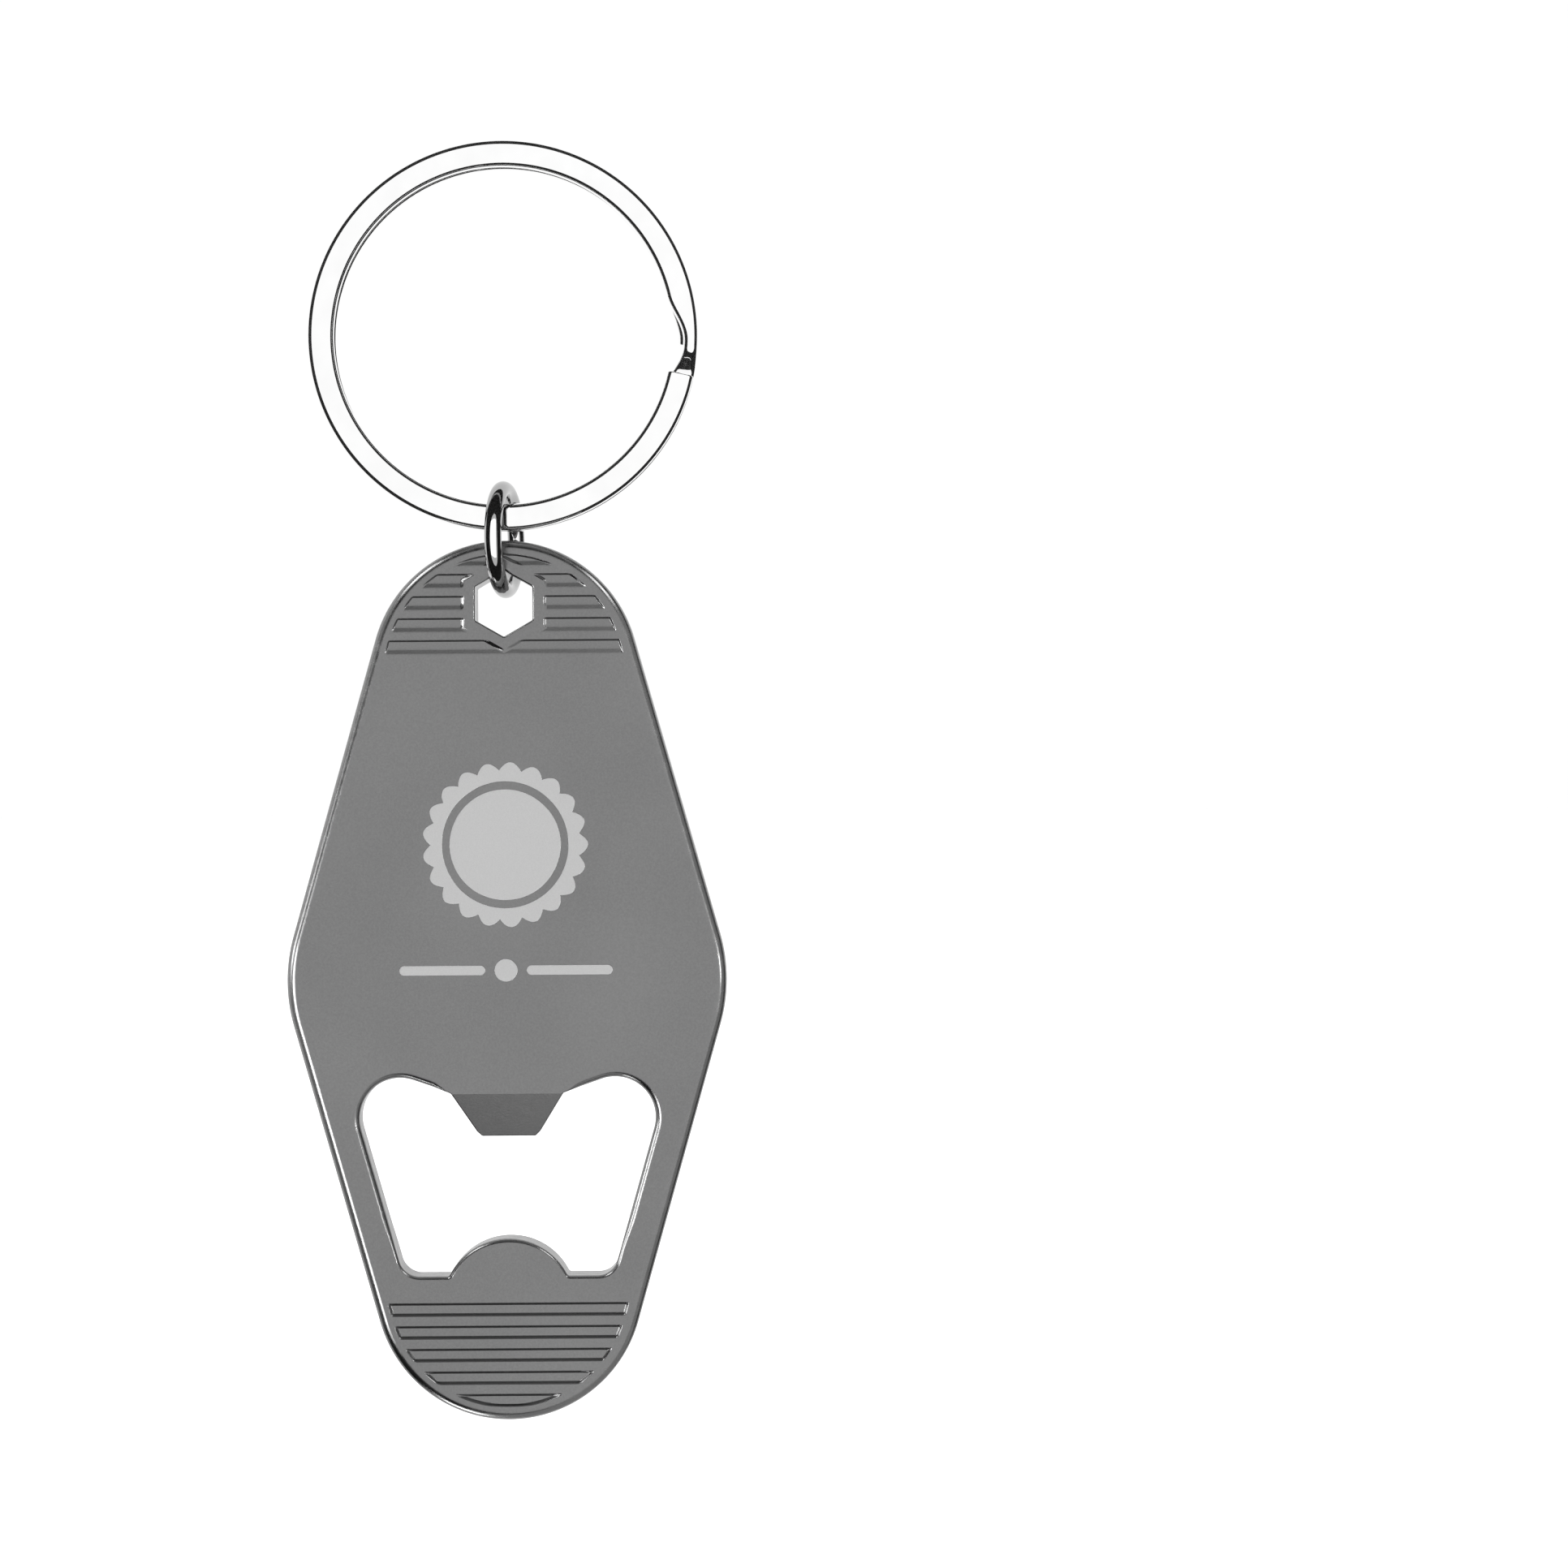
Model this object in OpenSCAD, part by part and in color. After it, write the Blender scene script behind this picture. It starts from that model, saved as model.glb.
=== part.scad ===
// Keychain bottle opener: a flat die-cast plate in the outline of a motel key fob, with a
// grooved grip at each end, hung by a jump ring from a flat split key ring.
// Frame: +Z up, +X to the right, +Y towards the back, millimetres. The origin is the point inside
// the top of the split ring where a hook or a key bears. Everything hangs straight down from it.

/* [Plate] */
// Length of the plate from end to end
plate_len = 72; // [70:0.5:76]
// Width of the plate across its middle
plate_w = 36; // [35:0.5:38]
// Thickness of the plate
plate_t = 3; // [2.6:0.1:3.2]
// Radius of the rounded top and bottom ends
end_r = 11; // [10.8:0.1:11.4]
// Radius of the blunt corners at the widest place
side_r = 13.6; // [12:0.1:14]
// Width of the bevel round both faces of the plate
rim_bevel = 0.6; // [0.3:0.1:0.8]

/* [Hanging hole] */
// Width of the six-sided hole across its flats
hex_flats = 4.7; // [4.5:0.1:5]
// Height of the hole's centre above the plate's centre
hex_z = 30.8; // [30.6:0.1:31]
// Width of the plain rim left round the hole between the grooves
hex_rim = 0.8; // [0.6:0.1:1]

/* [Grip grooves] */
// Depth of the grooves
groove_depth = 0.3; // [0.2:0.05:0.4]
// Plain margin between the grooves and the edge of the plate
groove_margin = 1.1; // [1:0.1:1.4]
// Grooves at the top end
top_grooves = 5; // [3:1:5]
// Distance from one top groove to the next
top_pitch = 1.8; // [1.6:0.05:1.85]
// Lower edge of the lowest top groove above the plate's centre
top_start = 26.9; // [26.5:0.1:27.2]
// Grooves at the bottom end
bottom_grooves = 5; // [3:1:5]
// Distance from one bottom groove to the next
bottom_pitch = 1.86; // [1.7:0.02:1.9]
// Upper edge of the highest bottom groove below the plate's centre
bottom_start = 26.4; // [26.2:0.1:26.8]
// Height of one groove
groove_h = 0.98; // [0.8:0.02:1.1]

/* [Cap opening] */
// Width of metal left between the opening and the sides of the plate
jaw_w = 3; // [2.8:0.1:3.4]
// Lower edge of the opening below the plate's centre
mouth_bottom = 24.15; // [23.8:0.05:24.4]
// Top of the two rounded lobes below the plate's centre
lobe_top = 7.95; // [7.6:0.05:8.4]
// Radius of the two rounded lobes
lobe_r = 3.3; // [3:0.1:3.5]
// Radius of the two lower corners
corner_r = 1.7; // [1.4:0.1:2]
// Root of the tooth below the plate's centre
tooth_root = 9.2; // [9:0.1:9.5]
// Tip of the tooth below the plate's centre
tooth_tip = 12.85; // [12.4:0.05:13.2]
// Width of the tooth at its root
tooth_root_w = 9.2; // [8.8:0.1:9.4]
// Width of the tooth at its tip
tooth_tip_w = 5.2; // [4.8:0.1:5.6]
// Bevel at each corner of the tooth's tip
tooth_corner = 0.4; // [0.3:0.05:0.6]
// Thickness of the tooth at its bevelled tip
tooth_tip_t = 1.6; // [1.2:0.1:2]
// Radius of the round bump that bears on the top of a cap
bump_r = 5.4; // [5:0.1:5.6]
// Top of the bump below the plate's centre
bump_top = 21.1; // [20.8:0.1:21.6]

/* [Split ring] */
// Outer diameter of the split ring
ring_od = 32; // [31:0.5:33]
// Width of one coil, measured in towards the middle of the ring
coil_w = 2.2; // [2:0.1:2.4]
// Thickness of one coil
coil_t = 1.2; // [1.1:0.05:1.25]
// Gap between the two coils
coil_gap = 0.1; // [0.05:0.05:0.2]
// Radius of the coil's rounded edges
coil_edge_r = 0.35; // [0.25:0.05:0.45]
// Angle of the front coil's cut end below the horizontal
front_end_drop = 12.5; // [8:0.5:20]
// Depth of the neck where the coil crosses from front to back
neck_depth = 1; // [0.6:0.1:1.1]
// Depth of the shallower neck beside the back coil's cut end
tail_neck_depth = 0.6; // [0.3:0.1:0.8]

/* [Jump ring] */
// Outer diameter of the jump ring
jump_od = 9.6; // [9.6:0.1:10.4]
// Diameter of its wire
jump_wire = 1.4; // [1.3:0.05:1.4]
// Gap between its two butted ends
jump_gap = 0.08; // [0.05:0.01:0.2]
// Turn of the ring about the vertical
jump_turn = 8; // [0:1:9]
// Clearance between the rings, and between the wire and the sides of the hole
hang_clearance = 0.1; // [0.08:0.02:0.2]

/* [Hidden] */
$fn = 96;
margin = 1; // how far a cutter runs past the face that it cuts

// Outline of the plate: four arcs joined by straight sides that touch them
end_z = plate_len / 2 - end_r;
side_x = plate_w / 2 - side_r;
side_tilt = atan2(side_x, end_z) + asin((side_r - end_r) / norm([side_x, end_z]));
function side_point(sx, sz, inset) = [
    sx * (side_x + (side_r - inset) * cos(side_tilt)),
    sz * (side_r - inset) * sin(side_tilt)
];
function end_point(sx, sz, inset) = [
    sx * (end_r - inset) * cos(side_tilt),
    sz * (end_z + (end_r - inset) * sin(side_tilt))
];

// Cap opening: how far its straight sides lie from the plate's centre, along their normal
jaw_offset = end_z * sin(side_tilt) + end_r - jaw_w;
function touching_x(z, r) = (jaw_offset - r + z * sin(side_tilt)) / cos(side_tilt);
lobe_z = -lobe_top - lobe_r;
lobe_x = touching_x(lobe_z, lobe_r);
corner_z = -mouth_bottom + corner_r;
corner_x = touching_x(corner_z, corner_r);
// Slope of the edge that runs from the tooth's root up to the lobe
root_to_lobe = [lobe_x - tooth_root_w / 2, lobe_z + tooth_root];
root_slope = atan2(root_to_lobe[1], root_to_lobe[0]) + asin(lobe_r / norm(root_to_lobe));
tooth_bevel = atan2(plate_t - tooth_tip_t, tooth_tip - tooth_root);

// Split ring: travel along the coil, in degrees clockwise from the front coil's cut end
ring_r = (ring_od - coil_w) / 2;
ring_inner_r = ring_od / 2 - coil_w;
coil_y = (coil_t + coil_gap) / 2;
neck_start = 334.5;
neck_full = 349.5;
ramp_start = 351.5;
ramp_end = 359.5;
neck_end = 363.5;
travel_end = 710.5;
plain_step = 6;
fine_step = 1;
edge_steps = 2;
function smooth(u) = let (v = max(0, min(1, u))) v * v * (3 - 2 * v);
function rise(t, from, to) = smooth((t - from) / (to - from));
function coil_neck(t) = neck_depth * (rise(t, neck_start, neck_full) - rise(t, ramp_start, neck_end))
    + tail_neck_depth * rise(t, neck_start + 360, neck_full + 360);
function coil_place(t) = coil_y * (2 * rise(t, ramp_start, ramp_end) - 1);
stations = concat(
    [for (t = [0 : plain_step : neck_start - 1]) t],
    [for (t = [neck_start : fine_step : neck_end + fine_step]) t],
    [for (t = [neck_end + plain_step : plain_step : neck_start + 359]) t],
    [for (t = [neck_start + 360 : fine_step : travel_end]) t]
);
// Section of the coil: a rectangle from its inner edge outwards, with rounded corners
function coil_section(w) = [
    for (corner = [[1, 1, 0], [-1, 1, 90], [-1, -1, 180], [1, -1, 270]], k = [0 : edge_steps])
        let (a = corner[2] + 90 * k / edge_steps)
        [
            ring_od / 2 - w / 2 + corner[0] * (w / 2 - coil_edge_r) + coil_edge_r * cos(a),
            corner[1] * (coil_t / 2 - coil_edge_r) + coil_edge_r * sin(a)
        ]
];
function coil_ring(t) = let (a = -front_end_drop - t) [
    for (p = coil_section(coil_w - coil_neck(t)))
        [p[0] * cos(a), coil_place(t) + p[1], p[0] * sin(a)]
];

// Hanging chain: each piece bears on the one above it
hook_to_ring = -ring_inner_r;
bundle_z = hook_to_ring - ring_r;
bundle_corner = norm([coil_w / 2 - coil_edge_r, coil_y + coil_t / 2 - coil_edge_r]) + coil_edge_r;
jump_r = (jump_od - jump_wire) / 2;
jump_z = bundle_z - (jump_r - jump_wire / 2 - bundle_corner - hang_clearance);
hex_r = hex_flats / 2 / cos(30);
// The wire's curve and turn both bring it closer to the hole's sides at the plate's faces
wire_curve = jump_r - sqrt(jump_r * jump_r - plate_t * plate_t / 4);
wire_turn = plate_t / 2 * tan(jump_turn);
hang_depth = (jump_wire / 2 + hang_clearance + wire_curve + wire_turn) / cos(30);
pin_z = jump_z - jump_r;
plate_z = pin_z + hang_depth - hex_r - hex_z;

module plate_outline(inset = 0) {
    for (s = [-1, 1]) {
        translate([0, s * end_z]) circle(r = end_r - inset);
        translate([s * side_x, 0]) circle(r = side_r - inset);
    }
    plate_web(inset);
}

// The middle of the plate, between the points where the straight sides meet the arcs
module plate_web(inset = 0) {
    polygon([
        side_point(1, 1, inset),
        end_point(1, 1, inset),
        end_point(-1, 1, inset),
        side_point(-1, 1, inset),
        side_point(-1, -1, inset),
        end_point(-1, -1, inset),
        end_point(1, -1, inset),
        side_point(1, -1, inset)
    ]);
}

// One of the four round corners of the plate, with both faces bevelled
module bevelled_corner(r) {
    rotate([90, 0, 0])
        rotate_extrude()
            polygon([
                [0, -plate_t / 2],
                [r - rim_bevel, -plate_t / 2],
                [r, -plate_t / 2 + rim_bevel],
                [r, plate_t / 2 - rim_bevel],
                [r - rim_bevel, plate_t / 2],
                [0, plate_t / 2]
            ]);
}

// Cutter that bevels both faces along one straight side of the plate
module side_bevel() {
    cut = rim_bevel * sqrt(2);
    for (s = [-1, 1]) {
        rotate([0, -side_tilt, 0])
            translate([side_x * cos(side_tilt) + side_r, s * plate_t / 2, 0])
                rotate([0, 0, 45])
                    cube([cut, cut, 2 * plate_len], center = true);
    }
}

module plate_body() {
    for (s = [-1, 1]) {
        translate([0, 0, s * end_z]) bevelled_corner(end_r);
        translate([s * side_x, 0, 0]) bevelled_corner(side_r);
    }
    difference() {
        slab(plate_t) plate_web();
        for (mx = [0, 1], mz = [0, 1]) {
            mirror([mx, 0, 0]) mirror([0, 0, mz]) side_bevel();
        }
    }
}

module hex_outline(grow = 0) {
    translate([0, hex_z])
        rotate(90)
            circle(r = hex_r + grow / cos(30), $fn = 6);
}

module groove_outlines() {
    intersection() {
        plate_outline(groove_margin);
        union() {
            for (k = [0 : top_grooves - 1]) {
                translate([-plate_w / 2, top_start + k * top_pitch])
                    square([plate_w, groove_h]);
            }
            for (k = [0 : bottom_grooves - 1]) {
                translate([-plate_w / 2, -bottom_start - k * bottom_pitch - groove_h])
                    square([plate_w, groove_h]);
            }
        }
    }
}

module tooth_outline() {
    polygon([
        [-tooth_root_w / 2 - margin, -tooth_root + margin],
        [-tooth_root_w / 2, -tooth_root],
        [-tooth_tip_w / 2, -tooth_tip + tooth_corner],
        [-tooth_tip_w / 2 + tooth_corner, -tooth_tip],
        [tooth_tip_w / 2 - tooth_corner, -tooth_tip],
        [tooth_tip_w / 2, -tooth_tip + tooth_corner],
        [tooth_root_w / 2, -tooth_root],
        [tooth_root_w / 2 + margin, -tooth_root + margin]
    ]);
}

module mouth_half() {
    translate([lobe_x, lobe_z]) circle(r = lobe_r);
    translate([corner_x, corner_z]) circle(r = corner_r);
    polygon([
        [0, -tooth_root],
        [tooth_root_w / 2, -tooth_root],
        [lobe_x - lobe_r * sin(root_slope), lobe_z + lobe_r * cos(root_slope)],
        [lobe_x + lobe_r * cos(side_tilt), lobe_z - lobe_r * sin(side_tilt)],
        [corner_x + corner_r * cos(side_tilt), corner_z - corner_r * sin(side_tilt)],
        [corner_x, -mouth_bottom],
        [0, -mouth_bottom]
    ]);
}

module mouth_outline() {
    difference() {
        union() {
            mouth_half();
            mirror([1, 0]) mouth_half();
        }
        tooth_outline();
        translate([0, -bump_top - bump_r]) circle(r = bump_r);
    }
}

// Turns an outline drawn in X and Z into a slab centred on the plate
module slab(t) {
    rotate([90, 0, 0])
        linear_extrude(height = t, center = true)
            children();
}

module split_ring() {
    color("gainsboro")
        translate([0, 0, hook_to_ring])
            polyhedron(
                points = [for (t = stations) each coil_ring(t)],
                faces = let (n = 4 * (edge_steps + 1), last = len(stations) - 1) concat(
                    [[for (j = [n - 1 : -1 : 0]) j]],
                    [
                        for (i = [0 : last - 1], j = [0 : n - 1])
                            [i * n + j, i * n + (j + 1) % n, (i + 1) * n + (j + 1) % n, (i + 1) * n + j]
                    ],
                    [[for (j = [0 : n - 1]) last * n + j]]
                )
            );
}

module jump_ring() {
    gap_angle = jump_gap / jump_r * 180 / PI;
    color("silver")
        translate([0, 0, jump_z])
            rotate([0, 90, -jump_turn])
                rotate([0, 0, 90 + gap_angle / 2])
                    rotate_extrude(angle = 360 - gap_angle)
                        translate([jump_r, 0])
                            circle(d = jump_wire, $fn = 48);
}

module opener_plate() {
    color("dimgray")
        translate([0, 0, plate_z])
            difference() {
                plate_body();
                slab(plate_t + margin) hex_outline();
                slab(plate_t + margin) mouth_outline();
                for (s = [-1, 1]) {
                    translate([0, s * (plate_t / 2 + margin / 2 - groove_depth), 0])
                        slab(margin) difference() {
                            groove_outlines();
                            hex_outline(hex_rim);
                        }
                }
                translate([0, -plate_t / 2, -tooth_root])
                    rotate([tooth_bevel, 0, 0])
                        translate([-tooth_root_w / 2, -margin * 3, -tooth_tip])
                            cube([tooth_root_w, margin * 3, tooth_tip]);
            }
}

split_ring();
jump_ring();
opener_plate();
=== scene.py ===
"""The looks of the keychain bottle opener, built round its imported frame.
Shapes are worked out in millimetres in each piece's own axes, and set down in metres in the frame."""

import math

import bpy
import numpy as np
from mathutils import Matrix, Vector
from mathutils.geometry import delaunay_2d_cdt


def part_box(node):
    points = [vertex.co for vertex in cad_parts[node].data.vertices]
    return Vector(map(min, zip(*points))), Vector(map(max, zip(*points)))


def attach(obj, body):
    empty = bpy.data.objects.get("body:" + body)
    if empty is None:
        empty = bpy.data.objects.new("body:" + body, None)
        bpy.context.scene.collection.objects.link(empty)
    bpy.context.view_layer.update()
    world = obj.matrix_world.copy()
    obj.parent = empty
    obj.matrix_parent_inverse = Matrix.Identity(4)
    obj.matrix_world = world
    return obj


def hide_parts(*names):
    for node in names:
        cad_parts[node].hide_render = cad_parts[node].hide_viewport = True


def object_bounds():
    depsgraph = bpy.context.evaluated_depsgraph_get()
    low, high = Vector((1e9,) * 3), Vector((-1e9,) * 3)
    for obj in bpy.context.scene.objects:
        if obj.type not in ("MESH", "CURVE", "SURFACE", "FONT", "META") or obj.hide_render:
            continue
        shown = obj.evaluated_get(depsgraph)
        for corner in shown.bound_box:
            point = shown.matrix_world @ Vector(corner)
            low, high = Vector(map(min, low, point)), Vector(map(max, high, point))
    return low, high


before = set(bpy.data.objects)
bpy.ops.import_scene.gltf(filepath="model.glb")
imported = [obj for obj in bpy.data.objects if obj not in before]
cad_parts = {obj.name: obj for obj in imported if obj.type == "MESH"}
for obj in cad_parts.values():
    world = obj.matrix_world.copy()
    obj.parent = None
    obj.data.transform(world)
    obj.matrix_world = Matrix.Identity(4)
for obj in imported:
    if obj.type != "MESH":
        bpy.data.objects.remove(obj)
cad_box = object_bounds()

MM = 0.001

# Plate, as in the CAD model
PLATE_LEN = 72.0
PLATE_W = 36.0
PLATE_T = 3.0
END_R = 11.0
SIDE_R = 13.6
HEX_FLATS = 4.7
HEX_Z = 30.8
HEX_RIM = 0.8
GROOVE_DEPTH = 0.3
GROOVE_MARGIN = 1.1
GROOVE_H = 0.98
TOP_GROOVES = [26.9 + 1.8 * k for k in range(5)]
BOTTOM_GROOVES = [-27.38 - 1.86 * k for k in range(5)]
JAW_W = 3.0
MOUTH_BOTTOM = -24.15
LOBE_TOP = -7.95
LOBE_R = 3.3
CORNER_R = 1.7
TOOTH_ROOT = -9.2
TOOTH_TIP = -12.85
TOOTH_ROOT_W = 9.2
TOOTH_TIP_W = 5.2
TOOTH_CORNER = 0.4
TOOTH_TIP_R = 0.25
TOOTH_ROOT_R = 0.35
TOOTH_TIP_T = 1.6
BUMP_R = 5.4
BUMP_TOP = -21.1
BUMP_FOOT_R = 0.3

# Rounded edges of the casting, and how far the mouth's edges take to grow rounder
RIM_R = 0.95
MOUTH_EDGE_R = 0.7
MOUTH_FOOT_R = 0.42
MOUTH_FOOT_FADE = 3.0
TOOTH_EDGE_R = 0.12
TOOTH_EDGE_FADE = 1.6
HEX_EDGE_R = 0.2
HEX_CORNER_R = 0.18
SHARP_R = 0.001

# Drafted groove walls: the top end's grooves are shallower, with a soft lower wall
GROOVE_WALL = 0.3
HEX_WALL = 0.4
GROOVE_DRAFT = (0.05, 0.15)
TOP_WALLS = (0.78, 0.2)
TOP_DRAFT = 0.4
TOP_FILLET = 0.1
TOP_END_WALL = 0.2
TOP_DEPTH = 0.21
CREASE = 0.05

# How finely the plate is meshed
EDGE_STEPS = 7
WALL_STEPS = 3
WALL_LINES = 6
SIDE_STEP = 0.4
LEVEL_STEP = 0.25
FACE_GRID = 1.5
EDGE_CLEARANCE = 0.05

# The etched mark: a crown cap seen from above, over a bar, a dot and a bar
MARK_DEPTH = 0.03
MARK_WALL = 0.05
MARK_Z = 11.1
CAP_R = 6.45
CAP_FLUTE = 0.33
CAP_FLUTES = 21
CAP_RING_R = 5.15
CAP_DISC_R = 4.55
ORNAMENT_Z = 0.85
ORNAMENT_BAR = (2.1, 8.3)
ORNAMENT_BAR_R = 0.42
ORNAMENT_DOT_R = 0.95

# Split ring, as in the CAD model; its edges are rounder here
RING_OD = 32.0
COIL_W = 2.2
COIL_T = 1.2
COIL_GAP = 0.1
COIL_EDGE_R = 0.56
COIL_END_R = 0.14
COIL_STEP = 2.0
COIL_FINE_STEP = 0.5
CORNER_STEPS = 8
WIDE_FLAT_STEP = 0.06
THIN_FLAT_STEP = 0.02
FRONT_END_DROP = 12.5
NECK_DEPTH = 1.0
TAIL_NECK_DEPTH = 0.6
NECK = (334.5, 349.5)
RAMP = (351.5, 359.5)
NECK_END = 363.5
TRAVEL_END = 710.5

# Jump ring, as in the CAD model; the turns are in radians
JUMP_OD = 9.6
JUMP_WIRE = 1.4
JUMP_GAP = 0.08
JUMP_END_R = 0.12
JUMP_TURN = math.radians(8)
JUMP_STEPS = 180
JUMP_END_TURN = 0.08
WIRE_SIDES = 40

# Camera, in metres from the middle of the plate
CAMERA_DISTANCE = 0.24
VIEW_WIDTH = 0.1288
PLATE_OFF_X = 0.0228
PLATE_OFF_Z = 0.0159
CAMERA_ROLL = math.radians(0.4)

# Studio, in metres and degrees
WORLD_STRENGTH = 1.02
FLOOR_R = 6
FLOOR_SIDES = 96
FLOOR_DROP = 0.006
FLAG_R = 0.9
FLAG_AIM = (0.22, -1, -0.06)
FLAG_ZONE = (50.1, 112)

# Lights: name, around, off, (width outwards, width around), radiance. Only the plate takes PLATE_LIGHTS.
ABOVE_DISTANCE = 1.3
ABOVE_LIGHT = ("softbox_above", 100, 80, (1.5, 1.5), 3.5)
RING_LIGHT_DISTANCE = 0.8
RING_LIGHT = ("box_front", 0, 8, (1.2, 1.2), 1.8)
PLATE_LIGHT_DISTANCE = 0.7
PLATE_LIGHTS = [
    ("box_left", 195, 47, (0.2, 0.34), 12),
    ("box_far_left", 176, 78, (0.2, 0.12), 9),
    ("box_lower_left", 249, 92, (0.22, 0.2), 8),
    ("strip_right", 0, 60, (0.08, 0.07), 26),
    ("fill_left", 172, 84, (0.6, 0.9), 0.5),
    ("fill_right", 2, 80, (0.6, 1.0), 0.5),
    ("fill_lower_right", 290, 88, (0.8, 1.2), 0.6),
    ("fill_top", 90, 92, (0.8, 0.6), 0.4),
    ("box_top_left", 132, 76, (0.25, 0.2), 7),
    ("box_top_right", 48, 80, (0.25, 0.2), 6),
]

# Worked out from the plate's sizes: its sides' slant, its end arcs' centres, its sides' and its jaws' reach
TILT = math.atan2(PLATE_W / 2 - SIDE_R, PLATE_LEN / 2 - END_R) + math.asin(
    (SIDE_R - END_R) / math.hypot(PLATE_W / 2 - SIDE_R, PLATE_LEN / 2 - END_R)
)
END_Z = PLATE_LEN / 2 - END_R
SIDE_REACH = END_Z * math.sin(TILT) + END_R
JAW_REACH = SIDE_REACH - JAW_W
HEX_CORNER = 1 / math.cos(math.radians(30))


def centre_of(node):
    low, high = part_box(node)
    return (low + high) / 2


def smooth(x):
    v = np.clip(x, 0, 1)
    return v * v * (3 - 2 * v)


# ---------------------------------------------------------------- outlines
# An outline is a list of (point, normal), with the metal on its left and the normals pointing out of it.


def rounded(corners, arc_step, chord):
    """Outlines a polygon of (x, z, radius) corners: arc_step is in degrees and chord in millimetres."""
    arcs = []
    for i, (x, z, radius) in enumerate(corners):
        p = Vector((x, z))
        back = (Vector(corners[i - 1][:2]) - p).normalized()
        on = (Vector(corners[(i + 1) % len(corners)][:2]) - p).normalized()
        half = back.angle(on) / 2
        middle = p + (back + on).normalized() * (radius / math.sin(half))
        start = p + back * (radius / math.tan(half)) - middle
        side = 1 if back.x * on.y - back.y * on.x < 0 else -1
        turn = (math.pi - 2 * half) * side
        steps = max(2, round(abs(math.degrees(turn)) / arc_step))
        arc = []
        for k in range(steps + 1):
            c, s = math.cos(turn * k / steps), math.sin(turn * k / steps)
            spoke = Vector((c * start.x - s * start.y, s * start.x + c * start.y))
            arc.append((middle + spoke, spoke.normalized() * side))
        arcs.append(arc)
    out = []
    for arc, following in zip(arcs, arcs[1:] + arcs[:1]):
        out += arc
        end, normal = arc[-1]
        start = following[0][0]
        parts = math.ceil((start - end).length / chord - 1e-6)
        if parts < 1:
            out.pop()
        out += [(end.lerp(start, k / parts), normal) for k in range(1, parts)]
    return out


def moved(outline, distance):
    """The outline's points, moved out of the metal by a distance."""
    return [p + n * distance for p, n in outline]


def plate_outline(chord=PLATE_LEN):
    """The plate's edge, with undivided straight sides unless it is given a shorter chord."""
    x, z = SIDE_REACH / math.cos(TILT), SIDE_REACH / math.sin(TILT)
    return rounded([(x, 0, SIDE_R), (0, z, END_R), (-x, 0, SIDE_R), (0, -z, END_R)], 2, chord)


def hex_outline(grow=0.0, corner_r=HEX_CORNER_R):
    r = (HEX_FLATS / 2 + grow) * HEX_CORNER
    angles = [math.radians(90 - 60 * k) for k in range(6)]
    return rounded([(r * math.cos(a), HEX_Z + r * math.sin(a), corner_r) for a in angles], 12, 0.6)


def jaw_x(z, back=0.0):
    """How far out the mouth's slanted side lies at height z, or a line set back from it."""
    return (JAW_REACH - back + z * math.sin(TILT)) / math.cos(TILT)


def mouth_outline():
    """The cap opening, followed clockwise from the tooth's tip to a lobe, down a jaw and over the bump."""
    lobe_z = LOBE_TOP - LOBE_R
    root_x = TOOTH_ROOT_W / 2
    away = Vector((jaw_x(lobe_z, LOBE_R) - root_x, lobe_z - TOOTH_ROOT))
    slope = math.atan2(away.y, away.x) + math.asin(LOBE_R / away.length)
    run = (jaw_x(TOOTH_ROOT) - root_x) / (math.cos(slope) - math.sin(slope) * math.tan(TILT))
    shoulder = (root_x + run * math.cos(slope), TOOTH_ROOT + run * math.sin(slope))
    bump_z = BUMP_TOP - BUMP_R
    foot_a = math.asin((MOUTH_BOTTOM + BUMP_FOOT_R - bump_z) / (BUMP_R + BUMP_FOOT_R))
    foot_x = (BUMP_R - (MOUTH_BOTTOM - bump_z) * math.sin(foot_a)) / math.cos(foot_a)
    tip_x = TOOTH_TIP_W / 2
    right = [
        (tip_x - TOOTH_CORNER, TOOTH_TIP, TOOTH_TIP_R),
        (tip_x, TOOTH_TIP + TOOTH_CORNER, TOOTH_TIP_R),
        (root_x, TOOTH_ROOT, TOOTH_ROOT_R),
        (*shoulder, LOBE_R),
        (jaw_x(MOUTH_BOTTOM), MOUTH_BOTTOM, CORNER_R),
        (foot_x, MOUTH_BOTTOM, BUMP_FOOT_R),
    ]
    left = [(-x, z, r) for x, z, r in reversed(right)]
    return rounded([*right, (0, bump_z + BUMP_R / math.sin(foot_a), BUMP_R), *left], 5, 0.5)


def mouth_edge_radius(point):
    """The tooth's edges are crisp, the jaws' edges grow rounder away from it, and the bottom's less so."""
    off_tooth = max(abs(point.x) - TOOTH_ROOT_W / 2 - 0.1, TOOTH_TIP - 1 - point.y)
    above_bump = float(smooth((point.y - BUMP_TOP + 1) / MOUTH_FOOT_FADE))
    full = MOUTH_FOOT_R + (MOUTH_EDGE_R - MOUTH_FOOT_R) * above_bump
    return TOOTH_EDGE_R + (full - TOOTH_EDGE_R) * float(smooth(off_tooth / TOOTH_EDGE_FADE))


# ---------------------------------------------------------------- relief of the plate's faces
# A relief takes arrays of x and z, and gives how far the surface lies below the plain face.


def plate_inset(x, z):
    """Distance in from the plate's edge, good for its two ends and its straight sides."""
    x, z = np.abs(x), np.abs(z)
    from_arc = END_R - np.hypot(x, z - END_Z)
    from_side = SIDE_REACH - x * np.cos(TILT) - z * np.sin(TILT)
    on_arc = (z - END_Z) * np.cos(TILT) > x * np.sin(TILT)
    return np.where(on_arc, from_arc, from_side)


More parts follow.
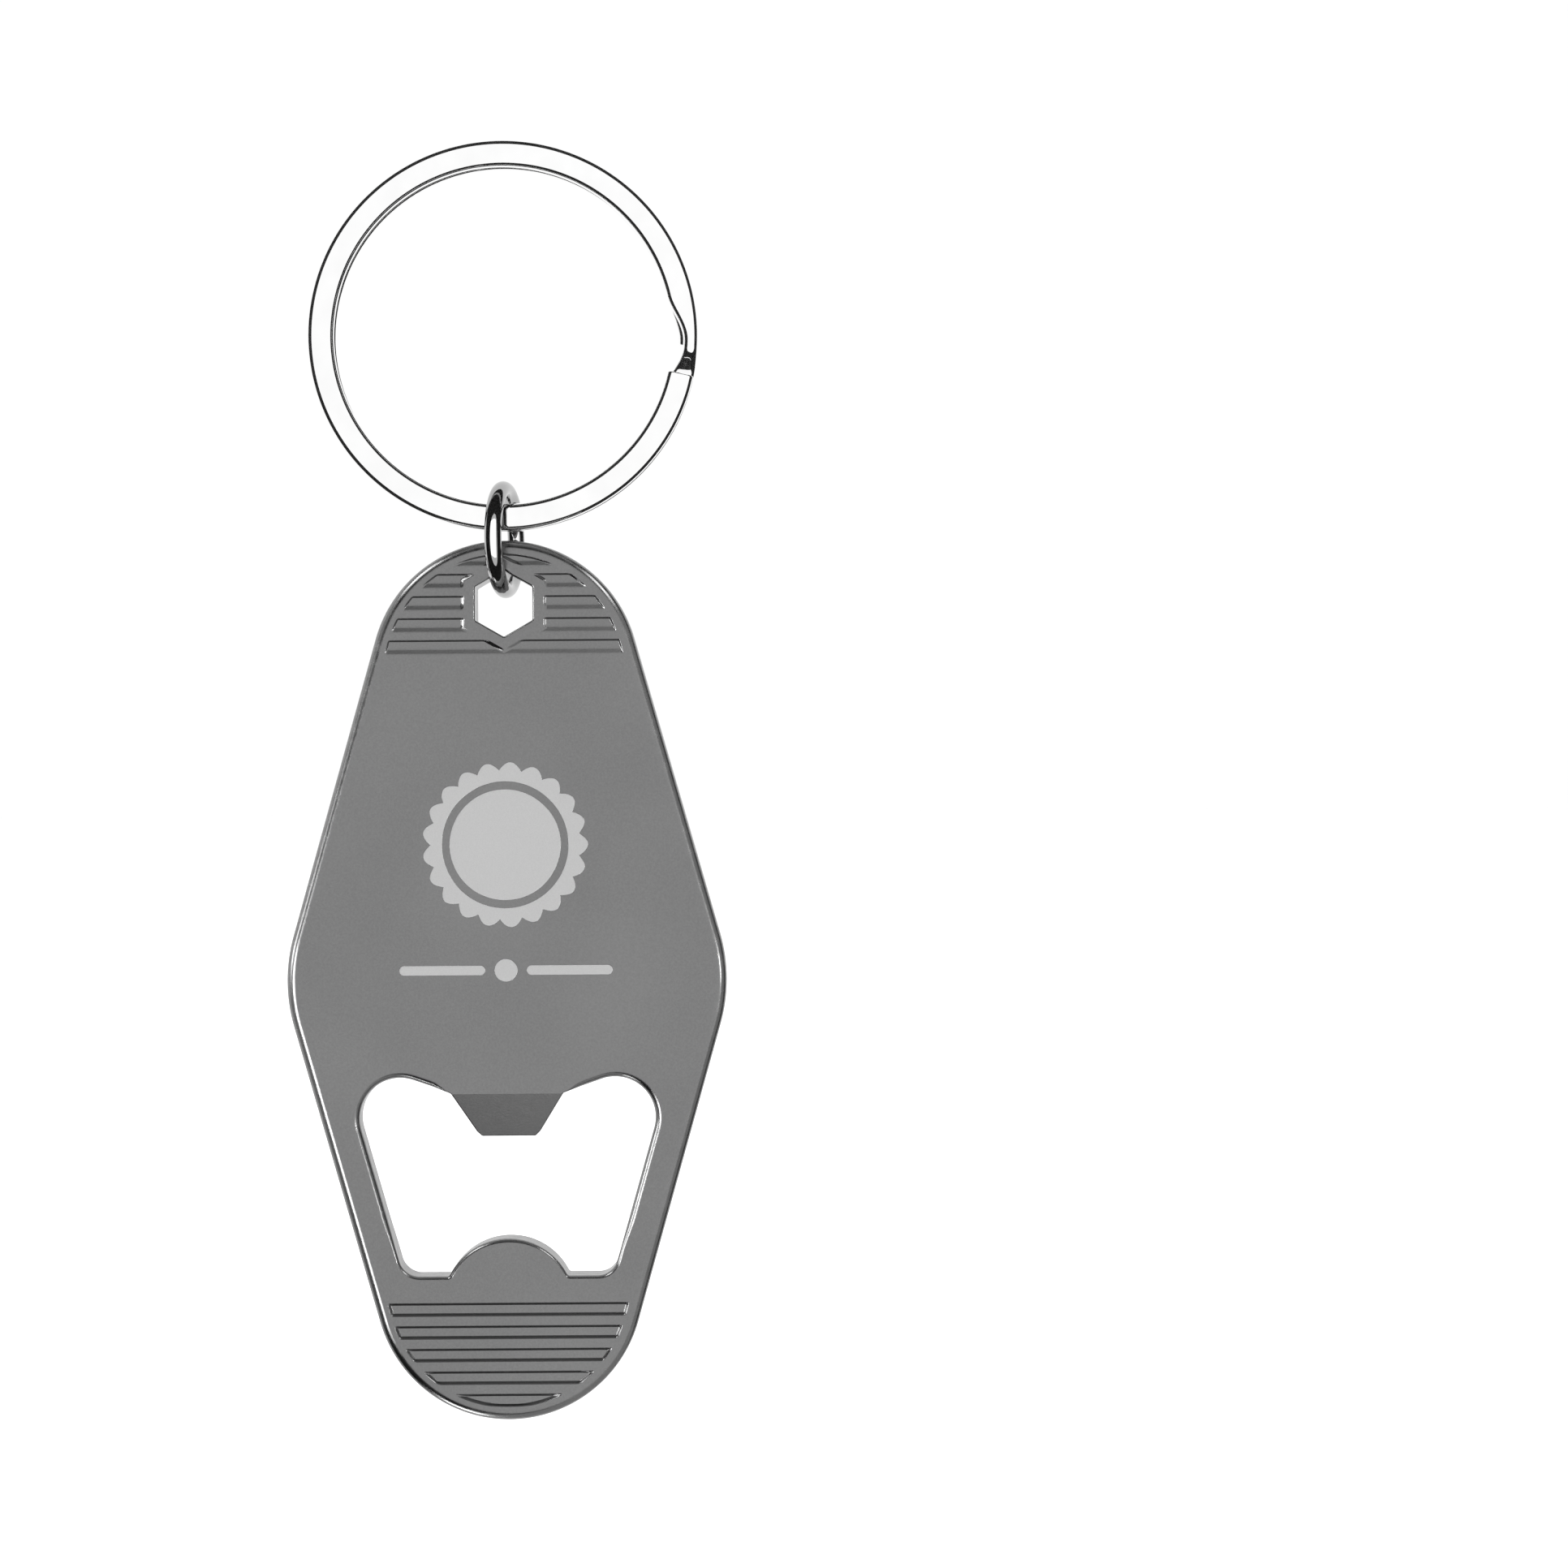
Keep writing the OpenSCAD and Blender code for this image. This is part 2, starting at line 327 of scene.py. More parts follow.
def hex_distance(x, z):
    x, z = np.abs(x), np.abs(z - HEX_Z)
    return np.maximum(x, x / 2 + z / HEX_CORNER) - HEX_FLATS / 2


def groove_span(low):
    """Where a groove starts and ends, and the widths of its lower and upper walls."""
    if low > 0:
        return low - TOP_DRAFT, low + GROOVE_H, *TOP_WALLS
    return low - GROOVE_DRAFT[0], low + GROOVE_H + GROOVE_DRAFT[1], GROOVE_WALL, GROOVE_WALL


def bend(past, fillet=CREASE):
    """A straight slope that starts at 0, with a small fillet there."""
    curve = (past + fillet) ** 2 / (4 * fillet)
    return np.where(past > fillet, past, np.where(past < -fillet, 0, curve))


def ramp(past, width, fillet):
    """A straight slope from 0 to 1 over a width, with a fillet at both ends."""
    run = width - 2 * fillet
    return (bend(past - fillet, fillet) - bend(past - fillet - run, fillet)) / run


def groove_profile(low, z):
    """How deep a groove is at height z."""
    start, end, below, above = groove_span(low)
    closing = smooth((end - z) / above)
    if low > 0:
        return TOP_DEPTH * ramp(z - start, below, TOP_FILLET) * closing
    return GROOVE_DEPTH * smooth((z - start) / below) * closing


def groove_relief(x, z):
    depth = sum(groove_profile(low, z) for low in TOP_GROOVES + BOTTOM_GROOVES)
    ends = smooth((plate_inset(x, z) - GROOVE_MARGIN) / np.where(z > 0, TOP_END_WALL, GROOVE_WALL))
    rim = smooth((hex_distance(x, z) - HEX_RIM) / HEX_WALL)
    return depth * ends * rim


def tooth_relief(x, z):
    on_tooth = (np.abs(x) < TOOTH_ROOT_W / 2 + 1) & (z > TOOTH_TIP - 1)
    slope = (PLATE_T - TOOTH_TIP_T) / (TOOTH_ROOT - TOOTH_TIP)
    return np.where(on_tooth, slope * bend(TOOTH_ROOT - z), 0)


def cap_radius(angle):
    """The scalloped edge of a crown cap seen from above."""
    return CAP_R + CAP_FLUTE * (2 * np.abs(np.cos(CAP_FLUTES * angle / 2)) - 1)


def mark_inset(x, z):
    """Distance in from the edge of the etched mark: a crown cap over a bar, a dot and a bar."""
    r = np.hypot(x, z - MARK_Z)
    angle = np.arctan2(z - MARK_Z, x)
    ring = np.minimum(cap_radius(angle) - r, r - CAP_RING_R)
    disc = CAP_DISC_R - r
    bar_x = np.clip(np.abs(x), *ORNAMENT_BAR)
    bar = ORNAMENT_BAR_R - np.hypot(np.abs(x) - bar_x, z - ORNAMENT_Z)
    dot = ORNAMENT_DOT_R - np.hypot(x, z - ORNAMENT_Z)
    return np.maximum.reduce([ring, disc, bar, dot])


def front_relief(x, z):
    return groove_relief(x, z) + tooth_relief(x, z) + MARK_DEPTH * smooth(mark_inset(x, z) / MARK_WALL)


def slopes(relief, x, z):
    """How fast the depth grows along X and along Z."""
    h = 1e-3
    along_x = (relief(x + h, z) - relief(x - h, z)) / (2 * h)
    along_z = (relief(x, z + h) - relief(x, z - h)) / (2 * h)
    return along_x, along_z


# ---------------------------------------------------------------- lines that the faces' mesh follows


def level_line(z, step):
    """Points across the whole plate at height z."""
    reach = PLATE_W / 2
    return [Vector((x, z)) for x in np.arange(-reach, reach + step, step)]


def steps_of(lines):
    return [(p, q) for line in lines for p, q in zip(line, line[1:])]


def steps_where(steps, test):
    """The short straight steps whose middles pass the test."""
    x = np.array([(p.x + q.x) / 2 for p, q in steps])
    z = np.array([(p.y + q.y) / 2 for p, q in steps])
    return [step for step, good in zip(steps, test(x, z)) if good]


def groove_lines():
    """Lines along every groove's walls and round its ends, kept only where the groove is."""
    walls = [k / WALL_LINES for k in range(WALL_LINES + 1)]
    outline = plate_outline(SIDE_STEP)
    outline.append(outline[0])
    ends = [moved(outline, -GROOVE_MARGIN - GROOVE_WALL * w) for w in walls]
    rims = []
    for w in walls:
        rim = [p for p, _ in hex_outline(HEX_RIM + HEX_WALL * w, SHARP_R)]
        rims.append([*rim, rim[0]])
    out = []
    for low in TOP_GROOVES + BOTTOM_GROOVES:
        start, end, below, above = groove_span(low)
        levels = [level_line(start + below * w, LEVEL_STEP) for w in walls]
        levels += [level_line(end - above * w, LEVEL_STEP) for w in walls]

        def in_groove(x, z, start=start, end=end):
            in_band = (z > start - 0.05) & (z < end + 0.05)
            in_margin = plate_inset(x, z) > GROOVE_MARGIN - 0.01
            return in_band & in_margin & (hex_distance(x, z) > HEX_RIM - 0.01)

        out += steps_where(steps_of(levels + ends + rims), in_groove)
    return out


def circle_line(cx, cz, radius, count):
    """A closed line about a centre, with a radius that is a number or a function of the angle."""
    angles = np.linspace(0, 2 * math.pi, count + 1)
    radii = radius(angles) if callable(radius) else radius + 0 * angles
    return [Vector((cx + r * math.cos(a), cz + r * math.sin(a))) for a, r in zip(angles, radii)]


def bar_line(side, radius):
    """A closed line round one bar of the ornament."""
    near, far = ORNAMENT_BAR
    line = []
    for k in range(13):
        a = math.radians(-90 + 15 * k)
        line.append(Vector((side * (far + radius * math.cos(a)), ORNAMENT_Z + radius * math.sin(a))))
    for k in range(13):
        a = math.radians(90 + 15 * k)
        line.append(Vector((side * (near + radius * math.cos(a)), ORNAMENT_Z + radius * math.sin(a))))
    return [*line, line[0]]


def mark_lines():
    out = []
    for inset in (0, MARK_WALL / 2, MARK_WALL):
        out.append(circle_line(0, MARK_Z, lambda a, i=inset: cap_radius(a) - i, CAP_FLUTES * 12))
        out.append(circle_line(0, MARK_Z, CAP_RING_R + inset, 120))
        out.append(circle_line(0, MARK_Z, CAP_DISC_R - inset, 120))
        out.append(circle_line(0, ORNAMENT_Z, ORNAMENT_DOT_R - inset, 36))
        out += [bar_line(side, ORNAMENT_BAR_R - inset) for side in (-1, 1)]
    return out


def tooth_lines():
    return [level_line(TOOTH_ROOT + CREASE * k, 0.05) for k in (-1, -0.5, 0, 0.5, 1)]


# ---------------------------------------------------------------- mesh of the plate


class Skin:
    """A mesh in the making: points with a normal and an edge value, and faces with a material number."""

    def __init__(self):
        self.points = []
        self.normals = []
        self.edge = []
        self.faces = []
        self.materials = []

    def point(self, place, normal, edge=0.0):
        self.points.append(place)
        self.normals.append(normal)
        self.edge.append(edge)
        return len(self.points) - 1

    def face(self, ids, material=0):
        self.faces.append(ids)
        self.materials.append(material)

    def strip(self, first, second):
        n = len(first)
        for i in range(n):
            j = (i + 1) % n
            self.face([first[i], second[i], second[j], first[j]])


def inside(points, loops):
    """Which points lie inside an odd number of loops."""
    odd = np.zeros(len(points), bool)
    x, y = points[:, :1], points[:, 1:]
    for loop in loops:
        a = np.array([(p.x, p.y) for p in loop])
        b = np.roll(a, -1, axis=0)
        crosses = (a[:, 1] > y) != (b[:, 1] > y)
        rise_y = np.where(a[:, 1] == b[:, 1], 1.0, b[:, 1] - a[:, 1])
        at = a[:, 0] + (y - a[:, 1]) * (b[:, 0] - a[:, 0]) / rise_y
        odd ^= ((crosses & (x < at)).sum(1) % 2).astype(bool)
    return odd


def relief_at(relief, places):
    """The depth at each place, and how fast it grows along X and along Z."""
    x = np.array([p.x for p in places])
    z = np.array([p.y for p in places])
    dx, dz = slopes(relief, x, z)
    return relief(x, z), dx, dz


def rolled_edge(skin, side, outline, radii, relief):
    """Rings of points that roll from one face of the plate over its edge, starting on the face."""
    rings = []
    for k in range(EDGE_STEPS + 1):
        a = math.pi / 2 * k / EDGE_STEPS
        places = [p - n * r * (1 - math.sin(a)) for (p, n), r in zip(outline, radii)]
        depth, dx, dz = relief_at(relief, places)
        ring = []
        for i, (place, (_, n), r) in enumerate(zip(places, outline, radii)):
            y = side * (PLATE_T / 2 - depth[i] - r * (1 - math.cos(a)))
            face_normal = Vector((dx[i], side, dz[i])).normalized()
            normal = face_normal * math.cos(a) + Vector((n.x, 0, n.y)) * math.sin(a)
            ring.append(skin.point(Vector((place.x, y, place.y)), normal.normalized(), math.sin(2 * a)))
        rings.append(ring)
    return rings


def flat_face(skin, side, loops, lines, relief, mark):
    """Fills one face of the plate between its loops of known points, following lines."""
    places, known, edges = [], [], []
    for loop in loops:
        first = len(places)
        for i, index in enumerate(loop):
            p = skin.points[index]
            places.append(Vector((p.x, p.z)))
            known.append(index)
            edges.append((first + i, first + (i + 1) % len(loop)))
    outlines = [[Vector((skin.points[i].x, skin.points[i].z)) for i in loop] for loop in loops]

    def clear(x, z):
        good = np.ones(len(x), bool)
        for dx, dz in ((1, 1), (-1, 1), (-1, -1), (1, -1)):
            corner = np.column_stack([x + dx * EDGE_CLEARANCE, z + dz * EDGE_CLEARANCE])
            good &= inside(corner, outlines)
        return good

    for step in steps_where(lines, clear):
        edges.append((len(places), len(places) + 1))
        places += step
        known += [None, None]
    grid_x = np.arange(-PLATE_W / 2, PLATE_W / 2, FACE_GRID)
    grid_z = np.arange(-PLATE_LEN / 2, PLATE_LEN / 2, FACE_GRID)
    gx, gz = (g.ravel() for g in np.meshgrid(grid_x + FACE_GRID / 3, grid_z + FACE_GRID / 3))
    far = (np.abs(groove_relief(gx, gz)) == 0) & clear(gx, gz)
    places += [Vector(p) for p in zip(gx[far], gz[far])]
    known += [None] * int(far.sum())

    spots, _, triangles, origins, _, _ = delaunay_2d_cdt(places, edges, [], 0, 1e-4)
    depth, dx, dz = relief_at(relief, spots)
    ids = []
    for i, spot in enumerate(spots):
        index = next((known[o] for o in origins[i] if known[o] is not None), None)
        if index is None:
            normal = Vector((dx[i], side, dz[i])).normalized()
            index = skin.point(Vector((spot.x, side * (PLATE_T / 2 - depth[i]), spot.y)), normal)
        ids.append(index)
    middles = np.array([tuple(sum((spots[i] for i in t), Vector((0, 0))) / 3) for t in triangles])
    etched = mark_inset(middles[:, 0], middles[:, 1]) > MARK_WALL / 2
    for triangle, keep, lit in zip(triangles, inside(middles, outlines), etched):
        if keep:
            face = [ids[i] for i in triangle]
            skin.face(face if side < 0 else face[::-1], 1 if lit and mark else 0)


def plate_skin():
    """One closed mesh: both faces, the edges that roll over from them and the walls in between."""
    skin = Skin()
    rim, hole, mouth = plate_outline(), hex_outline(), mouth_outline()
    edges = [
        (rim, [RIM_R] * len(rim)),
        (hole, [HEX_EDGE_R] * len(hole)),
        (mouth, [mouth_edge_radius(p) for p, _ in mouth]),
    ]
    front_loops, back_loops = [], []
    for outline, radii in edges:
        front = rolled_edge(skin, -1, outline, radii, front_relief)
        back = rolled_edge(skin, 1, outline, radii, groove_relief)
        wall = []
        for k in range(1, WALL_STEPS):
            ring = []
            for i, (_, n) in enumerate(outline):
                place = skin.points[front[-1][i]].lerp(skin.points[back[-1][i]], k / WALL_STEPS)
                ring.append(skin.point(place, Vector((n.x, 0, n.y))))
            wall.append(ring)
        rings = [*front, *wall, *reversed(back)]
        for first, second in zip(rings, rings[1:]):
            skin.strip(first, second)
        front_loops.append(front[0])
        back_loops.append(back[0])
    lines = groove_lines()
    flat_face(skin, -1, front_loops, lines + steps_of(mark_lines() + tooth_lines()), front_relief, True)
    flat_face(skin, 1, back_loops, lines, groove_relief, False)
    return skin


# ---------------------------------------------------------------- wire


def coil_neck(t):
    """How much narrower the wire is at t degrees along it: at its step, and at its tail."""
    narrows = smooth((t - NECK[0]) / (NECK[1] - NECK[0]))
    widens = smooth((t - RAMP[0]) / (NECK_END - RAMP[0]))
    tail = smooth((t - NECK[0] - 360) / (NECK[1] - NECK[0]))
    return float(NECK_DEPTH * (narrows - widens) + TAIL_NECK_DEPTH * tail)


def coil_place(t):
    """Where the wire lies front to back: in the front coil, on the ramp or in the back coil."""
    return (COIL_T + COIL_GAP) / 2 * float(2 * smooth((t - RAMP[0]) / (RAMP[1] - RAMP[0])) - 1)


def coil_section(width, inset):
    """A flat bar's section, (out, along Y), whose outer edge stays on the ring's outer radius."""
    corner = COIL_EDGE_R - inset
    half_w = width / 2 - inset - corner
    half_t = COIL_T / 2 - inset - corner
    # Each corner is followed by one more point a little way along the flat
    corners = (
        (1, 1, 0, WIDE_FLAT_STEP),
        (-1, 1, 90, THIN_FLAT_STEP),
        (-1, -1, 180, WIDE_FLAT_STEP),
        (1, -1, 270, THIN_FLAT_STEP),
    )
    out = []
    for cx, cy, start, past in corners:
        for k in range(CORNER_STEPS + 1):
            a = math.radians(start + 90 * k / CORNER_STEPS)
            out.append((cx * half_w + corner * math.cos(a), cy * half_t + corner * math.sin(a)))
        x, y = out[-1]
        out.append((x - past * math.sin(a), y + past * math.cos(a)))
    return [(RING_OD / 2 - width / 2 + x, y) for x, y in out]


def coil_stations():
    """Angles along the wire, finer where it changes, each with the inset of its section."""
    out = [
        *np.arange(0, NECK[0], COIL_STEP),
        *np.arange(NECK[0], NECK_END + 1, COIL_FINE_STEP),
        *np.arange(NECK_END + 1, NECK[0] + 360, COIL_STEP),
        *np.arange(NECK[0] + 360, TRAVEL_END, COIL_FINE_STEP),
    ]
    return [(t, 0.0) for t in out if 2 < t < TRAVEL_END - 2]


def end_stations(at, inward):
    """Stations that round off a cut end, from its face inwards."""
    out = []
    for k in range(6):
        a = math.pi / 2 * k / 5
        length = COIL_END_R * (1 - math.cos(a))
        out.append((at + inward * math.degrees(length / (RING_OD / 2)), COIL_END_R * (1 - math.sin(a))))
    return out


def split_ring_skin():
    """The flat wire swept through its two coils."""
    stations = end_stations(0, 1) + coil_stations() + end_stations(TRAVEL_END, -1)[::-1]
    rings = []
    points = []
    for t, inset in stations:
        a = math.radians(-FRONT_END_DROP - t)
        ring = []
        for out, y in coil_section(COIL_W - coil_neck(t), inset):
            ring.append(len(points))
            points.append(Vector((out * math.cos(a), coil_place(t) + y, out * math.sin(a))))
        rings.append(ring)
    return points, tube_faces(rings)


def tube_faces(rings):
    """Faces between rings of points, and a cap on either end."""
    faces = [rings[0][::-1], rings[-1]]
    for first, second in zip(rings, rings[1:]):
        n = len(first)
        for i in range(n):
            faces.append([first[i], first[(i + 1) % n], second[(i + 1) % n], second[i]])
    return faces


def jump_ring_skin():
    """A round wire bent in a circle, with its two ends butted at the back."""
    radius = (JUMP_OD - JUMP_WIRE) / 2
    gap = JUMP_GAP / radius / 2
    outward = Vector((math.sin(JUMP_TURN), math.cos(JUMP_TURN), 0))
    up = Vector((0, 0, 1))
    across = outward.cross(up)
    first_end = []
    for k in range(5):
        a = math.pi / 2 * k / 4
        past_cut = JUMP_END_R * (1 - math.cos(a)) / radius
        first_end.append((gap + past_cut, JUMP_WIRE / 2 - JUMP_END_R * (1 - math.sin(a))))
    start = gap + JUMP_END_TURN
    turn = [(a, JUMP_WIRE / 2) for a in np.linspace(start, 2 * math.pi - start, JUMP_STEPS)]
    last_end = [(2 * math.pi - a, r) for a, r in reversed(first_end)]
    points, rings = [], []
    for a, r in first_end + turn + last_end:
        spoke = outward * math.cos(a) + up * math.sin(a)
        ring = []
        for k in range(WIRE_SIDES):
            b = 2 * math.pi * k / WIRE_SIDES
            ring.append(len(points))
            points.append(spoke * (radius + r * math.cos(b)) + across * (r * math.sin(b)))
        rings.append(ring)
    return points, tube_faces([ring[::-1] for ring in rings])


# ---------------------------------------------------------------- materials


class Nodes:
    """A node material with a Principled shader, and short ways to add the nodes it needs."""

    def __init__(self, name):
        self.material = bpy.data.materials.new(name)
        self.material.use_nodes = True
        self.tree = self.material.node_tree
        self.shader = self.tree.nodes["Principled BSDF"]
        self.coords = self.tree.nodes.new("ShaderNodeTexCoord").outputs["Object"]

    def feed(self, socket, source):
        """Sets a socket to a number or a tuple, or links it to another node's output."""
        if isinstance(source, (int, float, tuple)):
            socket.default_value = source
        else:
            self.tree.links.new(source, socket)

    def plug(self, name, source):
        self.feed(self.shader.inputs[name], source)

    def add(self, kind, sources=(), **settings):
        node = self.tree.nodes.new(kind)
        for key, value in settings.items():
            setattr(node, key, value)
        for name, source in sources:
            self.feed(node.inputs[name], source)
        return node

    def noise(self, scale, detail=2.0, stretch=None):
        source = self.coords
        if stretch:
            source = self.add("ShaderNodeMapping", [("Vector", source), ("Scale", stretch)]).outputs[0]
        sources = [("Vector", source), ("Scale", scale), ("Detail", detail)]
        return self.add("ShaderNodeTexNoise", sources).outputs["Fac"]

    def spread(self, value, low, high, start=0.3, end=0.7):
        """Maps the values from start to end, where most of a noise lies, onto low to high."""
        sources = [("Value", value)]
        sources += [("From Min", start), ("From Max", end)]
        sources += [("To Min", low), ("To Max", high)]
        return self.add("ShaderNodeMapRange", sources).outputs[0]

    def math(self, operation, a, b):
        return self.add("ShaderNodeMath", [(0, a), (1, b)], operation=operation).outputs[0]

    def colour_mix(self, factor, dark, light):
        node = self.add("ShaderNodeMix", data_type="RGBA")
        sockets = {s.name: s for s in node.inputs if s.enabled}
        for name, source in (("Factor", factor), ("A", (*dark, 1.0)), ("B", (*light, 1.0))):
            self.feed(sockets[name], source)
        return next(s for s in node.outputs if s.enabled)

    def bump(self, height, distance, strength, under=None):
        sources = [("Height", height), ("Distance", distance), ("Strength", strength)]
        if under is not None:
            sources.append(("Normal", under))
        return self.add("ShaderNodeBump", sources).outputs[0]


def gunmetal():
    """Black nickel plating over a polished zinc casting, a little paler where edges rub."""
    m = Nodes("gunmetal_plating")
    m.plug("Metallic", 1.0)
    edge = m.add("ShaderNodeAttribute", attribute_name="edge").outputs["Fac"]
    tone = m.spread(m.noise(70, 3), 0.0, 0.55)
    grain = m.spread(m.noise(7000, 2), 0.0, 0.5)
    rubbed = m.math("MULTIPLY", edge, m.spread(m.noise(900, 4), 0.0, 0.5, 0.45, 0.7))
    light = m.math("ADD", m.math("ADD", tone, grain), rubbed)
    m.plug("Base Color", m.colour_mix(light, (0.192, 0.192, 0.193), (0.232, 0.232, 0.232)))
    satin = m.spread(m.noise(1500, 3), 0.20, 0.27)
    m.plug("Roughness", m.math("ADD", satin, m.math("MULTIPLY", rubbed, 0.1)))
    swell = m.bump(m.noise(160, 1), 0.00002, 0.25)
    m.plug("Normal", m.bump(m.noise(8000, 2), 0.000004, 0.5, swell))
    return m.material


def etched():
    """The pale frosted floor that a laser leaves in the plating, with its fine raster."""
    m = Nodes("laser_etch")
    m.plug("Metallic", 1.0)
    sources = [("Vector", m.coords), ("Scale", 2600.0), ("Distortion", 0.6)]
    raster = m.add("ShaderNodeTexWave", sources, bands_direction="Z").outputs["Fac"]
    fleck = m.noise(9000, 3)
    m.plug("Base Color", m.colour_mix(m.spread(fleck, 0.0, 1.0), (0.56, 0.56, 0.56), (0.63, 0.63, 0.63)))
    m.plug("Roughness", m.spread(fleck, 0.5, 0.62))
    m.plug("Normal", m.bump(raster, 0.000004, 0.3))
    return m.material


def nickel(name, base, scratch_scale):
    """Bright nickel plating with hairline scratches and a faint swell from the wire's rolling; a darker
    base colour given to it is painted shade.
    """
    m = Nodes(name)
    m.plug("Metallic", 1.0)
    haze = m.noise(500, 3)
    duller = tuple(0.96 * c for c in base)
    m.plug("Base Color", m.colour_mix(m.spread(haze, 0.0, 1.0), duller, base))
    hairline = m.noise(scratch_scale, 2, (1.0, 9.0, 1.0))
    scratched = m.spread(hairline, 0.0, 0.05, 0.55, 0.75)
    m.plug("Roughness", m.math("ADD", m.spread(haze, 0.03, 0.07), scratched))
    swell = m.bump(m.noise(220, 1), 0.00001, 0.3)
    m.plug("Normal", m.bump(hairline, 0.0000015, 0.3, swell))
    return m.material


def plain(name, grey, roughness):
    """An even grey, for what stands round the object."""
    m = Nodes(name)
    m.plug("Base Color", (grey, grey, grey, 1.0))
    m.plug("Roughness", roughness)
    return m.material


# ---------------------------------------------------------------- pieces


def piece(name, points, faces, place, materials):
    """An object from points in millimetres about a place in metres."""
    mesh = bpy.data.meshes.new(name)
    mesh.from_pydata([place + p * MM for p in points], [], faces)
    mesh.shade_smooth()
    obj = bpy.data.objects.new(name, mesh)
    bpy.context.scene.collection.objects.link(obj)
    for material in materials:
        mesh.materials.append(material)
    return obj


def make_plate():
    skin = plate_skin()
    place = centre_of("opener_plate")
    obj = piece("opener_plate_skin", skin.points, skin.faces, place, [gunmetal(), etched()])
    mesh = obj.data
    mesh.polygons.foreach_set("material_index", skin.materials)
    mesh.attributes.new("edge", "FLOAT", "POINT").data.foreach_set("value", skin.edge)
    mesh.normals_split_custom_set_from_vertices(skin.normals)
    return obj


def make_split_ring():
    points, faces = split_ring_skin()
    place = Vector((0, 0, COIL_W - RING_OD / 2)) * MM
    finish = nickel("bright_nickel", (0.98, 0.98, 0.98), 1800)
    return piece("split_ring_wire", points, faces, place, [finish])


def make_jump_ring():
    points, faces = jump_ring_skin()
    # Painted shade: the jump ring is the same bright nickel as the split ring, with its base colour
    # darkened so that it reads as shaded.
    finish = nickel("jump_ring_nickel_painted_shade", (0.42, 0.42, 0.42), 2500)
    return piece("jump_ring_wire", points, faces, centre_of("jump_ring"), [finish])


# ---------------------------------------------------------------- studio


def stage_mesh(name, points, faces, material):
    obj = piece(name, [p / MM for p in points], faces, Vector(), [material])
    return obj


def dark_flag(middle):
    """Black cloth, seen only in reflections: the zone of a sphere between two angles from its aim."""
    points, faces = [], []
    rows, columns = 12, 72
    turn = Vector(FLAG_AIM).to_track_quat("Z", "Y")
    start, end = FLAG_ZONE
    for i in range(rows + 1):
        b = math.radians(start + (end - start) * i / rows)
        for j in range(columns):
            a = 2 * math.pi * j / columns
            spoke = Vector((math.cos(a) * math.sin(b), math.sin(a) * math.sin(b), math.cos(b)))
            points.append(middle + turn @ spoke * FLAG_R)
    for i in range(rows):
        for j in range(columns):
            k = (j + 1) % columns
            faces.append([i * columns + j, i * columns + k, (i + 1) * columns + k, (i + 1) * columns + j])
    flag = stage_mesh("dark_flag", points, faces, plain("flag_cloth", 0.01, 0.9))
    flag.visible_camera = False
    flag.visible_diffuse = False
    flag.visible_shadow = False
    flag.visible_transmission = False


def floor(z):
    rim = []
    for k in range(FLOOR_SIDES):
        a = 2 * math.pi * k / FLOOR_SIDES
        rim.append(Vector((FLOOR_R * math.cos(a), FLOOR_R * math.sin(a), z)))
    obj = stage_mesh("floor", rim, [list(range(FLOOR_SIDES))], plain("pale_floor", 0.99, 0.8))
    obj.visible_glossy = False


